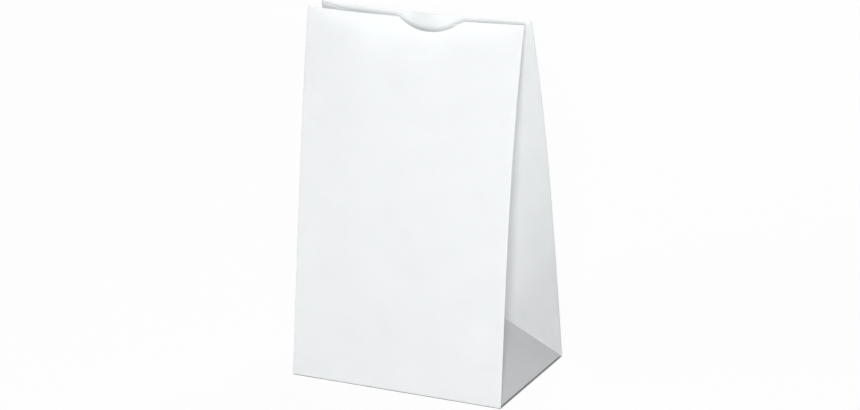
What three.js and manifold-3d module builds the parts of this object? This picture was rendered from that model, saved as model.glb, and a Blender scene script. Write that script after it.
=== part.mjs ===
// A square-bottom paper bag, standing open: a gusseted tube of thin white paper with a folded and glued foot.
// Millimetres, +Z up. The origin is the middle of the foot, on the surface the bag stands on.
// X runs along the front panel, from left to right, and Y from the front panel to the back panel.

import * as THREE from "three";
import { mergeVertices } from "three/addons/utils/BufferGeometryUtils.js";
import Module from "manifold-3d";

const wasm = await Module();
wasm.setup();

// The sheet and its folds
const panelWidth = 129; // front and back panels, from fold to fold
const gussetWidth = 85; // each side gusset, laid flat
const panelHeight = 208.5; // paper from the foot to the mouth
const paper = 0.3; // thickness of one layer
const creaseInside = 0.15; // radius on the inner face of a sharp fold
const flapLap = 20; // how far the two long foot flaps lie over each other
const seamLap = 15; // glued seam down the back

// How the bag stands
const mouthGapRight = 9.2; // front fold to back fold at the mouth
const mouthGapLeft = 15.9;
const bellyRight = 4.6; // how far a fold stands outside a straight line at half height
const bellyLeft = 1.3;
const bellyRise = 1.4; // above zero, the belly sits above half height
const mouthBow = 5; // the middle of the mouth stands this far to the front of its ends
const frontLean = 1; // lean of the whole mouth to the front
const backCreaseDent = 0.5; // the back is pressed in along the crease where the foot folds flat

// The thumb notch in the front panel's edge
const notchWidth = 37;
const notchDepth = 7;
const notchOffset = 12; // its middle, to the right of the panel's middle

// How finely the curves are cut into facets
const footBands = 6; // bands of height up to the tip of the gusset's foot triangle
const wallBands = 14; // bands from there to the mouth
const foldSteps = 4; // facets round a sharp fold
const notchSteps = 8;
const plainSteps = 3; // facets on each side of the notch
const gussetSteps = 3; // facets across half a gusset
const clearCut = 5; // how far a cutter runs past the paper

const crease = creaseInside + paper / 2; // radius of a fold, at the middle of the paper
const halfDepth = gussetWidth / 2;
const floorHeight = 3 * paper; // long flap, long flap, mitred corner
const sideFlapLength = halfDepth + flapLap / 2;
const mouthBand = 1.5 * notchDepth; // the notch stays inside the top band

// Heights along the paper at which the loft has a ring. No ring lies so low that its folds run together.
function ringHeights() {
  const heights = [0, 2 * floorHeight];
  for (let i = 1; i <= footBands; i++) {
    const share = i / footBands;
    heights.push(2 * floorHeight + (halfDepth - 2 * floorHeight) * share);
  }
  const top = panelHeight - mouthBand;
  for (let i = 1; i <= wallBands; i++) {
    heights.push(halfDepth + ((top - halfDepth) * i) / wallBands);
  }
  heights.push(panelHeight);
  return heights;
}

// Half the distance between the front and back folds of one end, at a share of the height.
function halfGap(share, mouthGap, belly) {
  const straight = halfDepth + (mouthGap / 2 - halfDepth) * share;
  const bulge = (belly * 4 * share * (1 - share) * (1 + bellyRise * share)) / (1 + bellyRise / 2);
  return straight + bulge;
}

// The creases of one end of the bag. The fold leans in with its panel. The foot triangle leans in until its
// tip is half a gusset from the fold, and above the tip each next point of the centre crease lies half a
// gusset from the fold and one band above the last point, so that the paper keeps its size.
function endCreases(heights, mouthGap, belly) {
  const fold = [];
  heights.forEach((height, i) => {
    const y = halfGap(height / panelHeight, mouthGap, belly);
    const last = fold[i - 1];
    const z = i ? last.z + Math.sqrt((height - heights[i - 1]) ** 2 - (y - last.y) ** 2) : 0;
    fold.push({ y, z });
  });
  const tip = heights.findIndex((height) => height >= halfDepth - 1e-6);
  const lean = Math.acos((fold[tip].y ** 2 + fold[tip].z ** 2) / (gussetWidth * fold[tip].z));
  const middle = [];
  heights.forEach((height, i) => {
    if (i <= tip) {
      middle.push({ inset: height * Math.sin(lean), z: height * Math.cos(lean), y: halfDepth - height });
      return;
    }
    const last = middle[i - 1];
    const reach = Math.sqrt(halfDepth ** 2 - fold[i].y ** 2);
    const band = height - heights[i - 1];
    const rise = fold[i].z - last.z;
    const gap = Math.hypot(last.inset, rise);
    const along = (gap ** 2 + band ** 2 - reach ** 2) / (2 * gap);
    const across = Math.sqrt(band ** 2 - along ** 2);
    const inset = last.inset + (-last.inset * along + rise * across) / gap;
    const z = last.z + (rise * along + last.inset * across) / gap;
    middle.push({ inset, z, y: 0 });
  });
  return { fold, middle, lean };
}

// The eight creases of one ring, anticlockwise from the front right fold. Each is a circle that the paper
// bends round: turn is 1 where the paper turns left, at a fold, and -1 where it turns right, in a gusset.
function ringCreases(right, left, i) {
  const end = (side, creases) => {
    const { fold, middle } = creases;
    const foldX = side * (panelWidth / 2 - crease);
    const middleX = side * (panelWidth / 2 - middle[i].inset + crease);
    const middleY = middle[i].y - (crease * middle[i].y) / halfDepth;
    return [
      { x: foldX, y: -fold[i].y + crease, z: fold[i].z, turn: 1 },
      { x: middleX, y: -middleY, z: middle[i].z, turn: -1 },
      { x: middleX, y: middleY, z: middle[i].z, turn: -1 },
      { x: foldX, y: fold[i].y - crease, z: fold[i].z, turn: 1 },
    ];
  };
  return [...end(1, right), ...end(-1, left).reverse()];
}

// Direction of the straight stretch between two creases: the line that touches both circles.
function stretchAngle(from, to, across) {
  const dx = to.x - from.x;
  const dy = to.y - from.y;
  const gap = Math.hypot(dx, dy);
  if (gap < 1e-4) return across;
  const radii = (from.turn - to.turn) * crease;
  return Math.atan2(dy, dx) + Math.asin(THREE.MathUtils.clamp(radii / gap, -1, 1));
}

// Places along the front panel, as shares of its width: evenly over the notch, and on each side of it.
function frontPlaces() {
  const start = 0.5 + (notchOffset - notchWidth / 2) / panelWidth;
  const end = 0.5 + (notchOffset + notchWidth / 2) / panelWidth;
  const places = [];
  for (let i = 1; i < plainSteps; i++) places.push((start * i) / plainSteps);
  for (let i = 0; i <= notchSteps; i++) places.push(start + ((end - start) * i) / notchSteps);
  for (let i = 1; i < plainSteps; i++) places.push(end + ((1 - end) * i) / plainSteps);
  return places.map((share) => ({ share, lap: 0 }));
}

// Places along the back panel, from right to left. The paper's outer layer rises by its thickness onto the
// layer below it, and ends in a step at the right edge of the seam.
function backPlaces() {
  const at = (x) => 0.5 - x / panelWidth;
  const half = seamLap / 2;
  const plain = [];
  for (let i = 1; i < plainSteps; i++) plain.push(i / plainSteps);
  return [
    ...plain.map((step) => ({ share: at(half) * step, lap: 0 })),
    { share: at(half), lap: 0 },
    { share: at(half), lap: 1 },
    { share: at(-half), lap: 1 },
    { share: at(-3 * half), lap: 0 },
    ...plain.map((step) => ({ share: at(-3 * half) + (1 - at(-3 * half)) * step, lap: 0 })),
  ];
}

function evenPlaces(steps) {
  return Array.from({ length: steps - 1 }, (_, i) => ({ share: (i + 1) / steps, lap: 0 }));
}

const halfGusset = evenPlaces(gussetSteps);
const stretches = [
  halfGusset, [], halfGusset, backPlaces(),
  halfGusset, [], halfGusset, frontPlaces(),
];
const frontStretch = stretches.length - 1;

// One ring of the paper's surface, moved sideways by offset from the middle of the paper. The seam's step
// shows where lapStep isn't zero. A dent presses the back in, and fades to nothing at the gussets' middle.
function ringPoints(creases, share, offset, lapStep, dent) {
  const count = creases.length;
  const angles = creases.map((from, i) => {
    const across = i < count / 2 ? Math.PI / 2 : -Math.PI / 2;
    return stretchAngle(from, creases[(i + 1) % count], across);
  });
  const onCircle = (circle, angle, lap = 0) => {
    const reach = circle.turn * crease + offset + lap * lapStep;
    return new THREE.Vector3(circle.x + reach * Math.sin(angle), circle.y - reach * Math.cos(angle), circle.z);
  };
  const points = [];
  creases.forEach((circle, i) => {
    const arriving = angles[(i + count - 1) % count];
    const change = angles[i] - arriving;
    const sweep = Math.atan2(Math.sin(change), Math.cos(change));
    for (let k = 0; k <= foldSteps; k++) {
      points.push({ at: onCircle(circle, arriving + (sweep * k) / foldSteps), stretch: i });
    }
    const next = creases[(i + 1) % count];
    stretches[i].forEach((place) => {
      const start = onCircle(circle, angles[i], place.lap);
      const end = onCircle(next, angles[i], place.lap);
      points.push({ at: start.lerp(end, place.share), stretch: i });
    });
  });
  points.forEach(({ at }) => {
    const middle = 1 - Math.min(1, Math.abs(2 * at.x) / panelWidth) ** 2;
    const backShare = Math.max(0, at.y) / halfDepth;
    at.y -= mouthBow * middle * share ** 3 + frontLean * share + dent * backShare;
  });
  return points;
}

// Depth of the thumb notch at x: a shallow arc of a circle.
function notchAt(x) {
  const half = notchWidth / 2;
  const away = Math.abs(x - notchOffset);
  if (away >= half) return 0;
  const radius = (half ** 2 + notchDepth ** 2) / (2 * notchDepth);
  return Math.sqrt(radius ** 2 - away ** 2) - (radius - notchDepth);
}

// Slides the top ring of the front panel down the paper, so that its edge follows the notch.
function cutNotch(top, below) {
  top.forEach((point, i) => {
    if (point.stretch !== frontStretch) return;
    point.at.lerp(below[i].at, notchAt(point.at.x) / mouthBand);
  });
}

// The surfaces of the paper, outside, inside and in its middle, as lists of rings from the foot to the mouth.
function paperRings() {
  const heights = ringHeights();
  const right = endCreases(heights, mouthGapRight, bellyRight);
  const left = endCreases(heights, mouthGapLeft, bellyLeft);
  const surface = (offset, lapStep) => {
    const rings = heights.map((height, i) => {
      const dent = Math.abs(height - halfDepth) < 1e-6 ? backCreaseDent : 0;
      return ringPoints(ringCreases(right, left, i), height / panelHeight, offset, lapStep, dent);
    });
    cutNotch(rings[rings.length - 1], rings[rings.length - 2]);
    return rings.map((ring) => ring.map((point) => point.at));
  };
  return { outer: surface(paper / 2, paper), inner: surface(-paper / 2, 0), middle: surface(0, 0) };
}

// A closed solid from rings of equal length that run from one end cap, up, round the rim and down to the other.
// The rings from turned on run down the inside, where each facet is split so that it lies along the outer one.
function loft(rings, turned = rings.length) {
  const count = rings[0].length;
  const positions = new Float32Array(rings.flat().flatMap((point) => [point.x, point.y, point.z]));
  const faces = [];
  for (let i = 0; i + 1 < rings.length; i++) {
    for (let k = 0; k < count; k++) {
      const a = i * count + k;
      const b = i * count + ((k + 1) % count);
      if (i < turned) faces.push([a, b, b + count], [a, b + count, a + count]);
      else faces.push([a, b, a + count], [b, b + count, a + count]);
    }
  }
  const cap = (ring, start, flip) => {
    const outline = ring.map((point) => new THREE.Vector2(point.x, point.y));
    THREE.ShapeUtils.triangulateShape(outline, []).forEach(([a, b, c]) => {
      faces.push(flip ? [start + c, start + b, start + a] : [start + a, start + b, start + c]);
    });
  };
  cap(rings[0], 0, true);
  cap(rings[rings.length - 1], (rings.length - 1) * count, false);
  return solid(positions, faces);
}

// A manifold-3d solid, with shared corners merged and faces of no area left out.
function solid(positions, faces) {
  const raw = new THREE.BufferGeometry();
  raw.setAttribute("position", new THREE.BufferAttribute(positions, 3));
  raw.setIndex(faces.flat());
  const merged = mergeVertices(raw, 1e-4);
  const index = [...merged.index.array];
  const kept = [];
  for (let i = 0; i < index.length; i += 3) {
    const [a, b, c] = index.slice(i, i + 3);
    if (a !== b && b !== c && c !== a) kept.push(a, b, c);
  }
  const vertProperties = merged.attributes.position.array;
  return new wasm.Manifold(new wasm.Mesh({ numProp: 3, vertProperties, triVerts: new Uint32Array(kept) }));
}

// A flat piece with the given outline, from one height to another.
function slab(outline, low, high) {
  const shape = new THREE.Shape(outline.map(([x, y]) => new THREE.Vector2(x, y)));
  const geometry = new THREE.ExtrudeGeometry(shape, { depth: high - low, bevelEnabled: false });
  geometry.translate(0, 0, low);
  geometry.deleteAttribute("normal");
  geometry.deleteAttribute("uv");
  const merged = mergeVertices(geometry, 1e-4);
  const faces = [];
  const index = merged.index.array;
  for (let i = 0; i < index.length; i += 3) faces.push([index[i], index[i + 1], index[i + 2]]);
  return solid(merged.attributes.position.array, faces);
}

// Below the foot: the front flap lies outermost. Its mitred ends and its free edge stand one paper above the
// back flap, and the side flaps show as a triangle at each end, one paper further in.
function footRecesses() {
  const edge = halfDepth + clearCut;
  const far = panelWidth / 2 + clearCut;
  const freeEdge = flapLap / 2;
  const backFlap = slab([[-far, freeEdge], [far, freeEdge], [far, edge], [-far, edge]], -paper, paper);
  const mitre = (side) => {
    const corner = (side * panelWidth) / 2;
    const reach = side * (halfDepth + edge);
    const outline = [
      [corner, -halfDepth],
      [side * far, -halfDepth],
      [side * far, edge],
      [corner - reach, edge],
    ];
    return slab(side > 0 ? outline : outline.reverse(), -paper, paper);
  };
  const end = (side) => {
    const corner = (side * panelWidth) / 2;
    const outline = [
      [corner, -halfDepth],
      [side * far, -halfDepth],
      [side * far, halfDepth],
      [corner, halfDepth],
      [corner - side * halfDepth, 0],
    ];
    return slab(side > 0 ? outline : outline.reverse(), -paper, 2 * paper);
  };
  return [backFlap, mitre(1), mitre(-1), end(1), end(-1)];
}

// Inside the foot: the flap of each gusset lies flat on the long flaps, with its free edge across the bag. It
// reaches into the walls as far as the middle of their paper, which the envelope's surface is.
function sideFlaps(envelope) {
  const innerX = panelWidth / 2 - sideFlapLength;
  const outerX = panelWidth / 2 + clearCut;
  const y = halfDepth + clearCut;
  const right = [[innerX, -y], [outerX, -y], [outerX, y], [innerX, y]];
  const left = right.map(([x, along]) => [-x, along]).reverse();
  return [right, left].map((outline) => {
    return slab(outline, floorHeight - paper, floorHeight + paper).intersect(envelope);
  });
}

// The foot's ring is level at the given height, with the outline of the ring it comes from.
function levelRing(ring, height) {
  return ring.map((point) => new THREE.Vector3(point.x, point.y, height));
}

function bagSolid() {
  const { outer, inner, middle } = paperRings();
  const floorRing = inner[0].map((point, i) => point.clone().lerp(inner[1][i], 0.5));
  const rings = [...outer, ...inner.slice(1).reverse(), levelRing(floorRing, floorHeight)];
  let bag = loft(rings, outer.length);
  sideFlaps(loft(middle)).forEach((flap) => {
    bag = bag.add(flap);
  });
  footRecesses().forEach((recess) => {
    bag = bag.subtract(recess);
  });
  return bag;
}

function geometryOf(body) {
  const mesh = body.getMesh();
  const geometry = new THREE.BufferGeometry();
  geometry.setAttribute("position", new THREE.BufferAttribute(new Float32Array(mesh.vertProperties), 3));
  geometry.setIndex(new THREE.BufferAttribute(new Uint32Array(mesh.triVerts), 1));
  geometry.computeVertexNormals();
  return geometry;
}

const whitePaper = new THREE.MeshStandardMaterial({ color: 0xf1f3f2, roughness: 0.75, metalness: 0 });
const bag = new THREE.Mesh(geometryOf(bagSolid()), whitePaper);
bag.name = "bag";

const root = new THREE.Group();
root.add(bag);

export default root;
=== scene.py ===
"""Looks of a square-bottom paper bag, standing open: one sheet of thin white paper, folded and glued.

Metres, +Z up. The origin is the middle of the foot. X runs along the front panel, and Y from front to back.
"""

import math

import bmesh
import bpy
import numpy as np
from mathutils import Matrix, Vector


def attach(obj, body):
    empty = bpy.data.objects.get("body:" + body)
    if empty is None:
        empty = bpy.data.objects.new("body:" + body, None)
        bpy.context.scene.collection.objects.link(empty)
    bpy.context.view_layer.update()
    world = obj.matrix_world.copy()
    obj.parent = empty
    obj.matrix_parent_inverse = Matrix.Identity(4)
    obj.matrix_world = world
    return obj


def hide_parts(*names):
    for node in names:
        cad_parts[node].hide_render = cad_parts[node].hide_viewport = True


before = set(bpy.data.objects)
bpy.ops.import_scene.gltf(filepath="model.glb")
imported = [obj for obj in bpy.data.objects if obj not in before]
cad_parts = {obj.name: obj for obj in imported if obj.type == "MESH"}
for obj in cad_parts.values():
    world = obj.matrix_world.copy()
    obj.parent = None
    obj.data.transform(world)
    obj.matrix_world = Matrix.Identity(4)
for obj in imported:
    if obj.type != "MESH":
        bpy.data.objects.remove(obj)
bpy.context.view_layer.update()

# Camera, at the photograph's viewing angle
IMAGE_WIDTH = 860
SENSOR_WIDTH = 36.0
FOCAL_PIXELS = 2326.7
CAMERA_AZIMUTH = 26.645
CAMERA_ELEVATION = 17.714
CAMERA_ROLL = -1.345
CAMERA_DISTANCE = 1.2948
TARGET_RIGHT = 0.0030
TARGET_HEIGHT = 0.0955

# The sheet and its folds
PANEL_WIDTH = 0.129
GUSSET_WIDTH = 0.085
PANEL_HEIGHT = 0.2085
PAPER = 0.00015
PLY_SPACING = 1.15 * PAPER
CREASE = 0.0003
HALF_DEPTH = GUSSET_WIDTH / 2

# Back seam: its lap, how far its free edge is loose, and how high that stands, in ply spacings
SEAM_LAP = 0.015
SEAM_LOOSE = 0.002
SEAM_LIFT = 1.3

# Stretches of the sheet, each named for the crease that it starts from
FRONT_PANEL = 7
BACK_PANEL = 3
RIGHT_TRIANGLE = 1
LEFT_TRIANGLE = 5
HALF_GUSSETS = (0, 2, 4, 6)
NO_PANEL = -1

# How the bag stands
MOUTH_GAP_RIGHT = 0.0092
MOUTH_GAP_LEFT = 0.0159
BELLY_RIGHT = 0.0046
BELLY_LEFT = 0.0013
BELLY_RISE = 1.4
MOUTH_BOW = 0.005
FRONT_LEAN = 0.001

# Thumb notch in the front panel's edge
NOTCH_WIDTH = 0.037
NOTCH_DEPTH = 0.007
NOTCH_OFFSET = 0.012
MOUTH_BAND = 1.5 * NOTCH_DEPTH

# Waves and bows of the paper, at most
PANEL_WAVE = 0.00035
GUSSET_WAVE = 0.0003
TRIANGLE_WAVE = 0.0002
GUSSET_BOW = 0.0009
BACK_VALLEY = 0.0005
VALLEY_REACH = 0.009
STILL_SHARE = 0.1
STILL_FOOT = 0.02

# Foot: its fold, its flaps, and how they come to lie over each other
FOOT_RADIUS = 0.0005
FIRST_ROW = 0.0012
FLAP_LENGTH = 0.0525
FLAP_LAP = 0.02
LAP_LIFT = 1.3 * PAPER
LAP_RISE = 0.006
SIDE_RAISE = 0.0005
SIDE_RISE = 0.003
CORNER_FLAT = 0.0005
CORNER_RISE = 0.0015
TUCK_FROM = 0.4
TUCK_RISE = 0.03

# How finely the sheet is divided
FOLD_STEPS = 5
FOOT_ROWS = 30
WALL_ROWS = 86
MOUTH_ROWS = 12
GUSSET_COLUMNS = 22
TRIANGLE_COLUMNS = 14
LOOSE_COLUMNS = 7
OVER_COLUMNS = 34
UNDER_COLUMNS = 36
NOTCH_COLUMNS = 33
LEFT_OF_NOTCH = 23
RIGHT_OF_NOTCH = 14
FLAP_ROWS = 28
SETTLE_ROUNDS = 80
SAME_POINT = 2e-6
SHARP_DEGREES = 50

# Paper: between two tints, and what passes through
TINT_LOW = (0.904, 0.916, 0.920, 1.0)
TINT_HIGH = (0.952, 0.964, 0.968, 1.0)
TINT_THROUGH = (0.940, 0.950, 0.953, 1.0)
LIGHT_THROUGH = 0.45

# Floor, just below the paper, and lamps
FLOOR_HALF_WIDTH = 3.0
FLOOR_LEVEL = -0.00005
FLOOR_GREY = (0.38, 0.38, 0.38, 1.0)
FLOOR_PALE = (0.95, 0.95, 0.95, 1.0)
FLOOR_GLOW_SHARE = 0.94
SOFT_LIGHT = 0.12
LAMP_DISTANCE = 2.0
LAMP_AIM = Vector((0.0, 0.0, 0.1))


def place_camera():
    """A camera on a sphere round a point above the foot, turned a little about its own axis."""
    azimuth, elevation, roll = (math.radians(a) for a in (CAMERA_AZIMUTH, CAMERA_ELEVATION, CAMERA_ROLL))
    back = Vector((
        math.sin(azimuth) * math.cos(elevation),
        -math.cos(azimuth) * math.cos(elevation),
        math.sin(elevation),
    ))
    level = Vector((math.cos(azimuth), math.sin(azimuth), 0.0))
    upright = back.cross(level)
    right = math.cos(roll) * level + math.sin(roll) * upright
    up = math.cos(roll) * upright - math.sin(roll) * level
    place = Vector((0.0, 0.0, TARGET_HEIGHT)) + TARGET_RIGHT * level + CAMERA_DISTANCE * back
    data = bpy.data.cameras.new("camera")
    data.sensor_width = SENSOR_WIDTH
    data.lens = SENSOR_WIDTH * FOCAL_PIXELS / IMAGE_WIDTH
    camera = bpy.data.objects.new("camera", data)
    camera.matrix_world = Matrix.Translation(place) @ Matrix((right, up, back)).transposed().to_4x4()
    bpy.context.scene.collection.objects.link(camera)
    bpy.context.scene.camera = camera


def ease(x):
    """0 below 0, 1 above 1, and 3 x squared minus 2 x cubed between them."""
    x = np.clip(x, 0.0, 1.0)
    return x * x * (3.0 - 2.0 * x)


def ripples(along, up, longest, shortest, height, seed, count=7):
    """Soft waves in paper: a sum of cosines with seeded headings, spread from the longest to the shortest.

    Each has 0.6 of the height times its own length over the longest, to the power 1.3.
    """
    rng = np.random.default_rng(seed)
    lengths = np.geomspace(longest, shortest, count)
    headings = rng.uniform(0.0, np.pi, count)
    starts = rng.uniform(0.0, 2.0 * np.pi, count)
    total = np.zeros(np.broadcast(along, up).shape)
    for length, heading, start in zip(lengths, headings, starts):
        phase = 2.0 * np.pi * (along * np.cos(heading) + up * np.sin(heading)) / length
        total += (length / longest) ** 1.3 * np.cos(phase + start)
    return 0.6 * height * total


def half_gap(share, mouth_gap, belly):
    """Half the way from the front fold to the back fold: a straight taper and a belly of 4 s (1 - s)."""
    straight = HALF_DEPTH + (mouth_gap / 2 - HALF_DEPTH) * share
    bulge = belly * 4 * share * (1 - share) * (1 + BELLY_RISE * share) / (1 + BELLY_RISE / 2)
    return straight + bulge


def end_creases(height, mouth_gap, belly):
    """Creases of one end: fold y and z, then the gusset crease's inset, y and z, at each paper height.

    The fold climbs by the root of step squared minus sideways step squared. The foot triangle leans in
    until its tip is half a gusset from the fold. Above the tip the crease stays half a gusset from the
    fold, and its own length grows with the paper's.
    """
    fold_y = half_gap(height / PANEL_HEIGHT, mouth_gap, belly)
    step = np.diff(height, prepend=0.0)
    sideways = np.diff(fold_y, prepend=HALF_DEPTH)
    fold_z = np.cumsum(np.sqrt(step**2 - sideways**2))
    tip = int(np.argmin(np.abs(height - HALF_DEPTH)))
    lean = np.arccos((fold_y[tip] ** 2 + fold_z[tip] ** 2) / (GUSSET_WIDTH * fold_z[tip]))
    inset = height * np.sin(lean)
    middle_z = height * np.cos(lean)
    middle_y = np.maximum(HALF_DEPTH - height, 0.0)
    upper = slice(tip, None)
    climb = middle_z[tip] + height[upper] - height[tip]
    for _ in range(SETTLE_ROUNDS):
        room = HALF_DEPTH**2 - fold_y[upper] ** 2 - (fold_z[upper] - climb) ** 2
        reach = np.sqrt(np.maximum(room, 0.0))
        rise = np.sqrt(np.maximum(step[upper][1:] ** 2 - np.diff(reach) ** 2, 0.0))
        climb = middle_z[tip] + np.concatenate(([0.0], np.cumsum(rise)))
    inset[upper] = reach
    middle_z[upper] = climb
    return fold_y, fold_z, inset, middle_y, middle_z


def crease_circles(height):
    """The eight creases as circles that the paper bends round, anticlockwise from the front right fold.

    Returns x, y and z, one row for each crease and one column for each paper height.
    """
    ends = []
    for side, gap, belly in ((1, MOUTH_GAP_RIGHT, BELLY_RIGHT), (-1, MOUTH_GAP_LEFT, BELLY_LEFT)):
        fold_y, fold_z, inset, middle_y, middle_z = end_creases(height, gap, belly)
        fold_x = np.full_like(height, side * (PANEL_WIDTH / 2 - CREASE))
        middle_x = side * (PANEL_WIDTH / 2 - inset + CREASE)
        middle_y = middle_y * (1 - CREASE / HALF_DEPTH)
        end = [
            (fold_x, -fold_y + CREASE, fold_z),
            (middle_x, -middle_y, middle_z),
            (middle_x, middle_y, middle_z),
            (fold_x, fold_y - CREASE, fold_z),
        ]
        ends += end if side > 0 else end[::-1]
    return np.array(ends).transpose(1, 0, 2)


TURN = np.array([1.0, -1.0, -1.0, 1.0, 1.0, -1.0, -1.0, 1.0])[:, None]
ACROSS = np.array([0.5, 0.5, 0.5, 0.5, -0.5, -0.5, -0.5, -0.5])[:, None] * np.pi


def crease_angles(x, y):
    """Heading of each straight stretch, which touches both its circles, and the turn round each circle."""
    dx = np.roll(x, -1, axis=0) - x
    dy = np.roll(y, -1, axis=0) - y
    gap = np.hypot(dx, dy)
    radii = (TURN - np.roll(TURN, -1, axis=0)) * CREASE
    tilt = np.arcsin(np.clip(radii / np.maximum(gap, 1e-9), -1.0, 1.0))
    leave = np.where(gap < 1e-7, ACROSS, np.arctan2(dy, dx) + tilt)
    arrive = np.roll(leave, 1, axis=0)
    return arrive, np.arctan2(np.sin(leave - arrive), np.cos(leave - arrive))


def even(count):
    """Shares strictly between 0 and 1, evenly spaced."""
    return np.arange(1, count) / count


def front_shares():
    """Places along the front panel, closer together over the notch, with one at each of its ends."""
    start = 0.5 + (NOTCH_OFFSET - NOTCH_WIDTH / 2) / PANEL_WIDTH
    end = 0.5 + (NOTCH_OFFSET + NOTCH_WIDTH / 2) / PANEL_WIDTH
    left = np.linspace(0.0, start, LEFT_OF_NOTCH)[1:-1]
    notch = np.linspace(start, end, NOTCH_COLUMNS)
    right = np.linspace(end, 1.0, RIGHT_OF_NOTCH)[1:-1]
    return np.concatenate((left, notch, right))


def sheet_columns():
    """Columns of the sheet, from the free edge of its back seam round to the edge below it.

    Each has its crease's number, its share of the bend there and its share of the stretch after it, and how
    far it lies over the ply below. A stretch has the number of the crease that it starts from.
    """
    seam_edge = 0.5 - SEAM_LAP / 2 / PANEL_WIDTH
    seam_end = 0.5 + SEAM_LAP / 2 / PANEL_WIDTH
    number, bend, share, lap, stretch = [], [], [], [], []

    def add(crease, bends, shares, laps, panel):
        size = len(bends)
        number.append(np.full(size, crease))
        bend.append(bends)
        share.append(shares)
        lap.append(laps)
        stretch.append(np.full(size, panel))

    def add_fold(crease):
        bends = np.arange(FOLD_STEPS + 1) / FOLD_STEPS
        flat = np.zeros_like(bends)
        add(crease, bends, flat, flat, NO_PANEL)

    loose_end = seam_edge + 2 * SEAM_LOOSE / PANEL_WIDTH
    loose = np.linspace(seam_edge, loose_end, LOOSE_COLUMNS)[:-1]
    over = np.concatenate((loose, np.linspace(loose_end, 1.0, OVER_COLUMNS)[:-1]))
    past = (over - seam_end) * PANEL_WIDTH / SEAM_LAP
    lift = SEAM_LIFT * (1.0 - ease((over - seam_edge) * PANEL_WIDTH / SEAM_LOOSE))
    add(BACK_PANEL, np.ones_like(over), over, 1.0 - ease(past) + lift, BACK_PANEL)
    for crease in (4, 5, 6, 7, 0, 1, 2):
        if crease == FRONT_PANEL:
            shares = front_shares()
        else:
            shares = even(GUSSET_COLUMNS if crease in HALF_GUSSETS else TRIANGLE_COLUMNS)
        add_fold(crease)
        add(crease, np.ones_like(shares), shares, np.zeros_like(shares), crease)
    add_fold(BACK_PANEL)
    under = np.linspace(0.0, seam_end, UNDER_COLUMNS)[1:]
    add(BACK_PANEL, np.ones_like(under), under, np.zeros_like(under), BACK_PANEL)
    return (np.concatenate(parts) for parts in (number, bend, share, lap, stretch))


def sheet_rows():
    """Paper heights of the sheet's rows, with one at the tip of the foot triangle."""
    foot = np.linspace(FIRST_ROW, HALF_DEPTH, FOOT_ROWS)
    wall = np.linspace(HALF_DEPTH, PANEL_HEIGHT - MOUTH_BAND, WALL_ROWS)
    mouth = np.linspace(PANEL_HEIGHT - MOUTH_BAND, PANEL_HEIGHT, MOUTH_ROWS)
    return np.concatenate((foot, wall[1:], mouth[1:]))


def relief(stretch, share, height):
    """How far the paper stands out from its straight stretches, for each column and row.

    It is nothing at the folds and at the foot. Panels carry long low waves, half gussets a bow of one
    sine and waves of their own, and the back a valley where the foot was folded flat.
    """
    total = np.zeros((len(share), len(height)))
    part = share[:, None]
    up = height[None, :]
    free = ease(part / STILL_SHARE) * ease((1.0 - part) / STILL_SHARE) * ease(up / STILL_FOOT)
    for panel, seed in ((FRONT_PANEL, 11), (BACK_PANEL, 12)):
        waves = ripples(part * PANEL_WIDTH, up, 0.11, 0.03, PANEL_WAVE, seed)
        total += (stretch == panel)[:, None] * free * waves
    bow = GUSSET_BOW * np.sin(np.pi * part) * ease((up - 0.03) / 0.06)
    for panel, seed in zip(HALF_GUSSETS, (21, 22, 23, 24)):
        waves = ripples(part * HALF_DEPTH, up, 0.06, 0.012, GUSSET_WAVE, seed)
        total += (stretch == panel)[:, None] * (free * waves + bow)
    narrow = ease((HALF_DEPTH - up) / STILL_FOOT)
    for panel, seed in ((RIGHT_TRIANGLE, 31), (LEFT_TRIANGLE, 32)):
        waves = ripples(part * GUSSET_WIDTH, up, 0.05, 0.02, TRIANGLE_WAVE, seed)
        total += (stretch == panel)[:, None] * free * narrow * waves
    valley = BACK_VALLEY * np.exp(-np.abs(up - HALF_DEPTH) / VALLEY_REACH)
    across = ease(part / 0.04) * ease((1 - part) / 0.04)
    return total - (stretch == BACK_PANEL)[:, None] * across * valley


def wall_points(columns, height):
    """Points of the tube, as x, y and z of each row and column, and the outward heading of its lowest row.

    A point stands off its crease's circle by the crease radius, the relief and the ply below it, square to
    the stretch. The whole ring then bows and leans to the front with the third power of the height.
    """
    number, bend, share, lap, stretch = columns
    x, y, z = crease_circles(height)
    arrive, sweep = crease_angles(x, y)
    after = (number + 1) % len(TURN)
    angle = arrive[number] + sweep[number] * bend[:, None]
    stand = relief(stretch, share, height) + lap[:, None] * PLY_SPACING
    part = share[:, None]
    first = TURN[number] * CREASE + stand
    second = TURN[after] * CREASE + stand
    px = (1 - part) * (x[number] + first * np.sin(angle)) + part * (x[after] + second * np.sin(angle))
    py = (1 - part) * (y[number] - first * np.cos(angle)) + part * (y[after] - second * np.cos(angle))
    pz = (1 - part) * z[number] + part * z[after]
    rise = height[None, :] / PANEL_HEIGHT
    middle = 1 - np.minimum(1.0, np.abs(2 * px) / PANEL_WIDTH) ** 2
    py = py - MOUTH_BOW * middle * rise**3 - FRONT_LEAN * rise
    points = np.stack((px, py, pz), axis=-1).transpose(1, 0, 2)
    outward = np.stack((np.sin(angle[:, 0]), -np.cos(angle[:, 0]), np.zeros(len(share))), axis=-1)
    return points, outward


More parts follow.
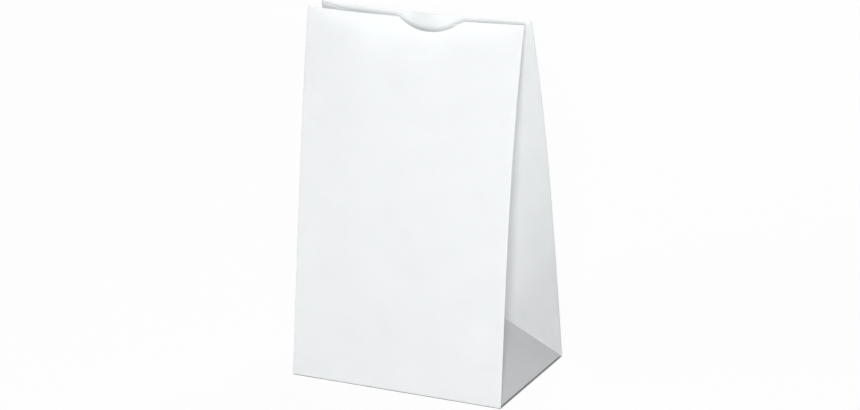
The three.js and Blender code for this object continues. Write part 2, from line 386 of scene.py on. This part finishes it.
def cut_notch(points, stretch, height):
    """Draws the front panel's top rows down towards the mouth band, by the depth of a shallow arc."""
    start = int(np.argmin(np.abs(height - (PANEL_HEIGHT - MOUTH_BAND))))
    half = NOTCH_WIDTH / 2
    radius = (half**2 + NOTCH_DEPTH**2) / (2 * NOTCH_DEPTH)
    away = np.minimum(np.abs(points[-1, :, 0] - NOTCH_OFFSET), half)
    depth = np.sqrt(radius**2 - away**2) - (radius - NOTCH_DEPTH)
    keep = 1.0 - np.where(stretch == FRONT_PANEL, depth, 0.0) / MOUTH_BAND
    points[start:] = points[start] + (points[start:] - points[start]) * keep[None, :, None]


def foot_fold(ring, outward, under):
    """Rows that turn the lowest wall ring in under the bag, along a quarter circle, from the flap up.

    The seam's lower ply comes to lie above the other one, by under times their spacing.
    """
    inside = ease((HALF_DEPTH - np.abs(ring[:, 1]) - CORNER_FLAT) / CORNER_RISE)
    level = PAPER / 2 + SIDE_RAISE * inside + PLY_SPACING * under
    angle = np.radians(np.linspace(90.0, 0.0, FOLD_STEPS + 1))[:, None]
    rows = ring[None] - outward[None] * (FOOT_RADIUS * (1 - np.cos(angle)))[..., None]
    rows[..., 2] = level + FOOT_RADIUS * (1 - np.sin(angle))
    return rows


def flap_rows(start, heading, mitre, lift):
    """Rows of a foot flap, from its fold to its free edge: each is the first row moved along heading.

    A mitred flap gets narrower by its own length at each end. It rises by lift where the long flaps lap.
    The ends of a side flap come up to the level of its middle within SIDE_RISE.
    """
    length = np.linspace(0.0, FLAP_LENGTH, FLAP_ROWS + 1)[1:, None]
    half_width = np.abs(start[:, 0]).max()
    rows = np.repeat(start[None], FLAP_ROWS, axis=0)
    if mitre:
        rows[..., 0] *= 1 - length / half_width
    else:
        rows[..., 2] += (start[:, 2].max() - start[:, 2]) * ease(length / SIDE_RISE)
    rows[..., :2] += length[..., None] * np.array(heading)
    rows[..., 2] += lift * ease((length - (FLAP_LENGTH - FLAP_LAP)) / LAP_RISE + 1.0)
    return rows


def grid_faces(index):
    """Four-sided faces between neighbouring rows and columns of a grid of vertex numbers."""
    corners = (index[:-1, :-1], index[:-1, 1:], index[1:, 1:], index[1:, :-1])
    return np.stack(corners, axis=-1).reshape(-1, 4)


def sheet_mesh():
    """The whole sheet: the tube's grid of rows and columns, its foot fold, and a grid for each foot flap."""
    columns = tuple(sheet_columns())
    number, bend, share, lap, stretch = columns
    height = sheet_rows()
    wall, outward = wall_points(columns, height)
    cut_notch(wall, stretch, height)
    half = len(share) // 2
    last = np.arange(len(share)) > half
    under = (last & (stretch == BACK_PANEL)) * ease((share - TUCK_FROM) / TUCK_RISE)
    tube = np.concatenate((foot_fold(wall[0], outward, under), wall))
    points = [tube.reshape(-1, 3)]
    index = np.arange(tube.shape[0] * tube.shape[1]).reshape(tube.shape[:2])
    faces = [grid_faces(index)]
    total = index.size
    flaps = (
        (FRONT_PANEL, (0.0, 1.0), True, 0.0, slice(None)),
        (BACK_PANEL, (0.0, -1.0), True, LAP_LIFT, slice(0, half)),
        (BACK_PANEL, (0.0, -1.0), True, LAP_LIFT, slice(half, None)),
        (RIGHT_TRIANGLE, (-1.0, 0.0), False, 0.0, slice(None)),
        (LEFT_TRIANGLE, (1.0, 0.0), False, 0.0, slice(None)),
    )
    for panel, heading, mitre, lift, part in flaps:
        within = stretch == panel
        with_ends = within | np.roll(within, 1) | np.roll(within, -1)
        chosen = np.arange(len(share))[part]
        chosen = chosen[with_ends[chosen]]
        rows = flap_rows(tube[0, chosen], heading, mitre, lift)[::-1]
        own = total + np.arange(rows.shape[0] * rows.shape[1]).reshape(rows.shape[:2])
        total += own.size
        points.append(rows.reshape(-1, 3))
        faces.append(grid_faces(np.concatenate((own, index[:1, chosen]))))
    return np.concatenate(points), np.concatenate(faces)


def paper_piece():
    """The bag's sheet with its real thickness. Points that fall together at the creases become one."""
    points, faces = sheet_mesh()
    mesh = bpy.data.meshes.new("bag_paper")
    mesh.from_pydata(points.tolist(), [], faces.tolist())
    work = bmesh.new()
    work.from_mesh(mesh)
    bmesh.ops.remove_doubles(work, verts=work.verts, dist=SAME_POINT)
    work.to_mesh(mesh)
    work.free()
    piece = bpy.data.objects.new("bag_paper", mesh)
    bpy.context.scene.collection.objects.link(piece)
    thickness = piece.modifiers.new("thickness", "SOLIDIFY")
    thickness.thickness = PAPER
    thickness.offset = 0.0
    thickness.use_quality_normals = True
    depsgraph = bpy.context.evaluated_depsgraph_get()
    solid = bpy.data.meshes.new_from_object(piece.evaluated_get(depsgraph))
    piece.modifiers.clear()
    piece.data = solid
    solid.name = "bag_paper"
    solid.shade_smooth()
    solid.set_sharp_from_angle(angle=math.radians(SHARP_DEGREES))
    return piece


def node(tree, kind, inputs=None, **settings):
    """A shader node with its settings and socket values."""
    made = tree.nodes.new(kind)
    for name, value in settings.items():
        setattr(made, name, value)
    for name, value in (inputs or {}).items():
        made.inputs[name].default_value = value
    return made


def noise(tree, place, scale, detail, roughness):
    """Noise on the piece's own coordinates, with features of about one over scale, in metres."""
    made = node(tree, "ShaderNodeTexNoise", {"Scale": scale, "Detail": detail, "Roughness": roughness})
    tree.links.new(place.outputs["Object"], made.inputs["Vector"])
    return made


def paper_material():
    """Bleached white paper: clouds of fibre, a fine tooth, and some of the light passing through.

    Each of the sheet's two faces lets LIGHT_THROUGH of the light pass, which brightens the bag's inside.
    """
    material = bpy.data.materials.new("white_paper")
    material.use_nodes = True
    tree = material.node_tree
    shader = tree.nodes["Principled BSDF"]
    shader.inputs["Roughness"].default_value = 0.72
    shader.inputs["Specular IOR Level"].default_value = 0.3
    place = node(tree, "ShaderNodeTexCoord")
    clouds = noise(tree, place, 70.0, 6.0, 0.68)
    spread = node(tree, "ShaderNodeMapRange", {"From Min": 0.3, "From Max": 0.7})
    tint = node(tree, "ShaderNodeMix", data_type="RGBA")
    tint.inputs["A"].default_value = TINT_LOW
    tint.inputs["B"].default_value = TINT_HIGH
    tree.links.new(clouds.outputs["Fac"], spread.inputs["Value"])
    tree.links.new(spread.outputs["Result"], tint.inputs["Factor"])
    tree.links.new(tint.outputs["Result"], shader.inputs["Base Color"])
    cockle = noise(tree, place, 300.0, 3.0, 0.5)
    tooth = noise(tree, place, 2400.0, 3.0, 0.6)
    coarse = node(tree, "ShaderNodeBump", {"Strength": 1.0, "Distance": 0.00004})
    fine = node(tree, "ShaderNodeBump", {"Strength": 1.0, "Distance": 0.000006})
    tree.links.new(cockle.outputs["Fac"], coarse.inputs["Height"])
    tree.links.new(tooth.outputs["Fac"], fine.inputs["Height"])
    tree.links.new(coarse.outputs["Normal"], fine.inputs["Normal"])
    tree.links.new(fine.outputs["Normal"], shader.inputs["Normal"])
    through = node(tree, "ShaderNodeBsdfTranslucent", {"Color": TINT_THROUGH})
    blend = node(tree, "ShaderNodeMixShader", {"Fac": LIGHT_THROUGH})
    tree.links.new(shader.outputs["BSDF"], blend.inputs[1])
    tree.links.new(through.outputs["BSDF"], blend.inputs[2])
    tree.links.new(blend.outputs["Shader"], tree.nodes["Material Output"].inputs["Surface"])
    return material


def make_floor():
    """A plain white floor. The camera sees it nearly white, with the soft shadow that lies on it.

    The rectangle under the bag's foot has a material of its own, as grey as the rest is to the light.
    """
    corners = np.array([(-1.0, -1.0), (1.0, -1.0), (1.0, 1.0), (-1.0, 1.0)])
    outlines = np.concatenate((corners * FLOOR_HALF_WIDTH, corners * (PANEL_WIDTH / 2, HALF_DEPTH)))
    points = np.column_stack((outlines, np.full(len(outlines), FLOOR_LEVEL)))
    mesh = bpy.data.meshes.new("floor")
    sides = [(0, 1, 5, 4), (1, 2, 6, 5), (2, 3, 7, 6), (3, 0, 4, 7)]
    mesh.from_pydata(points.tolist(), [], sides + [(4, 5, 6, 7)])
    floor = bpy.data.objects.new("floor", mesh)
    bpy.context.scene.collection.objects.link(floor)
    material = bpy.data.materials.new("floor_white")
    material.use_nodes = True
    tree = material.node_tree
    shader = tree.nodes["Principled BSDF"]
    shader.inputs["Base Color"].default_value = FLOOR_GREY
    shader.inputs["Roughness"].default_value = 0.9
    shader.inputs["Specular IOR Level"].default_value = 0.0
    glow = node(tree, "ShaderNodeEmission", {"Strength": 1.0})
    pale = node(tree, "ShaderNodeBsdfDiffuse", {"Color": FLOOR_PALE})
    seen = node(tree, "ShaderNodeMixShader", {"Fac": FLOOR_GLOW_SHARE})
    path = node(tree, "ShaderNodeLightPath")
    mix = node(tree, "ShaderNodeMixShader")
    tree.links.new(pale.outputs["BSDF"], seen.inputs[1])
    tree.links.new(glow.outputs["Emission"], seen.inputs[2])
    tree.links.new(path.outputs["Is Camera Ray"], mix.inputs["Fac"])
    tree.links.new(shader.outputs["BSDF"], mix.inputs[1])
    tree.links.new(seen.outputs["Shader"], mix.inputs[2])
    tree.links.new(mix.outputs["Shader"], tree.nodes["Material Output"].inputs["Surface"])
    mesh.materials.append(material)
    under = bpy.data.materials.new("floor_under_bag")
    under.use_nodes = True
    shader = under.node_tree.nodes["Principled BSDF"]
    shader.inputs["Base Color"].default_value = FLOOR_GREY
    shader.inputs["Roughness"].default_value = 0.9
    mesh.materials.append(under)
    mesh.polygons[4].material_index = 1


def area_light(name, azimuth, elevation, size, share):
    """A square soft light that faces the bag. Share is what it adds to white paper that faces it.

    Azimuth 0 is straight in front of the bag, and 90 is to its right. Its power is share times pi squared
    times distance squared.
    """
    azimuth, elevation = math.radians(azimuth), math.radians(elevation)
    data = bpy.data.lights.new(name, "AREA")
    data.size = size
    data.energy = share * math.pi**2 * LAMP_DISTANCE**2
    light = bpy.data.objects.new(name, data)
    away = Vector((
        math.sin(azimuth) * math.cos(elevation),
        -math.cos(azimuth) * math.cos(elevation),
        math.sin(elevation),
    ))
    turned = away.to_track_quat("Z", "Y").to_matrix().to_4x4()
    light.matrix_world = Matrix.Translation(away * LAMP_DISTANCE + LAMP_AIM) @ turned
    bpy.context.scene.collection.objects.link(light)


def make_light():
    """Soft light from all round and three large lamps: front right, front left, and high behind.

    The camera and rays that are mirrored or pass clear see a white background. Rays that the paper spreads,
    on either side, see only the soft light.
    """
    world = bpy.data.worlds.new("studio")
    bpy.context.scene.world = world
    world.use_nodes = True
    tree = world.node_tree
    soft = tree.nodes["Background"]
    soft.inputs["Color"].default_value = (0.985, 1.0, 1.0, 1.0)
    soft.inputs["Strength"].default_value = SOFT_LIGHT
    white = node(tree, "ShaderNodeBackground", {"Strength": 1.0})
    white.inputs["Color"].default_value = (1.0, 1.0, 1.0, 1.0)
    path = node(tree, "ShaderNodeLightPath")
    seen = node(tree, "ShaderNodeMath", operation="MAXIMUM")
    clear = node(tree, "ShaderNodeMath", operation="SUBTRACT", use_clamp=True)
    shown = node(tree, "ShaderNodeMath", operation="MAXIMUM")
    mix = node(tree, "ShaderNodeMixShader")
    tree.links.new(path.outputs["Is Camera Ray"], seen.inputs[0])
    tree.links.new(path.outputs["Is Glossy Ray"], seen.inputs[1])
    tree.links.new(seen.outputs["Value"], shown.inputs[0])
    tree.links.new(path.outputs["Is Transmission Ray"], clear.inputs[0])
    tree.links.new(path.outputs["Is Diffuse Ray"], clear.inputs[1])
    tree.links.new(clear.outputs["Value"], shown.inputs[1])
    tree.links.new(shown.outputs["Value"], mix.inputs["Fac"])
    tree.links.new(soft.outputs["Background"], mix.inputs[1])
    tree.links.new(white.outputs["Background"], mix.inputs[2])
    tree.links.new(mix.outputs["Shader"], tree.nodes["World Output"].inputs["Surface"])
    area_light("key", azimuth=26.5, elevation=12, size=0.5, share=0.96)
    area_light("fill", azimuth=-40, elevation=20, size=1.2, share=0.335)
    area_light("behind", azimuth=180, elevation=44, size=1.2, share=0.58)


place_camera()
bag = paper_piece()
bag.data.materials.clear()
bag.data.materials.append(paper_material())
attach(bag, "root")
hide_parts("bag")
make_floor()
make_light()

bpy.context.scene.view_settings.view_transform = "Standard"
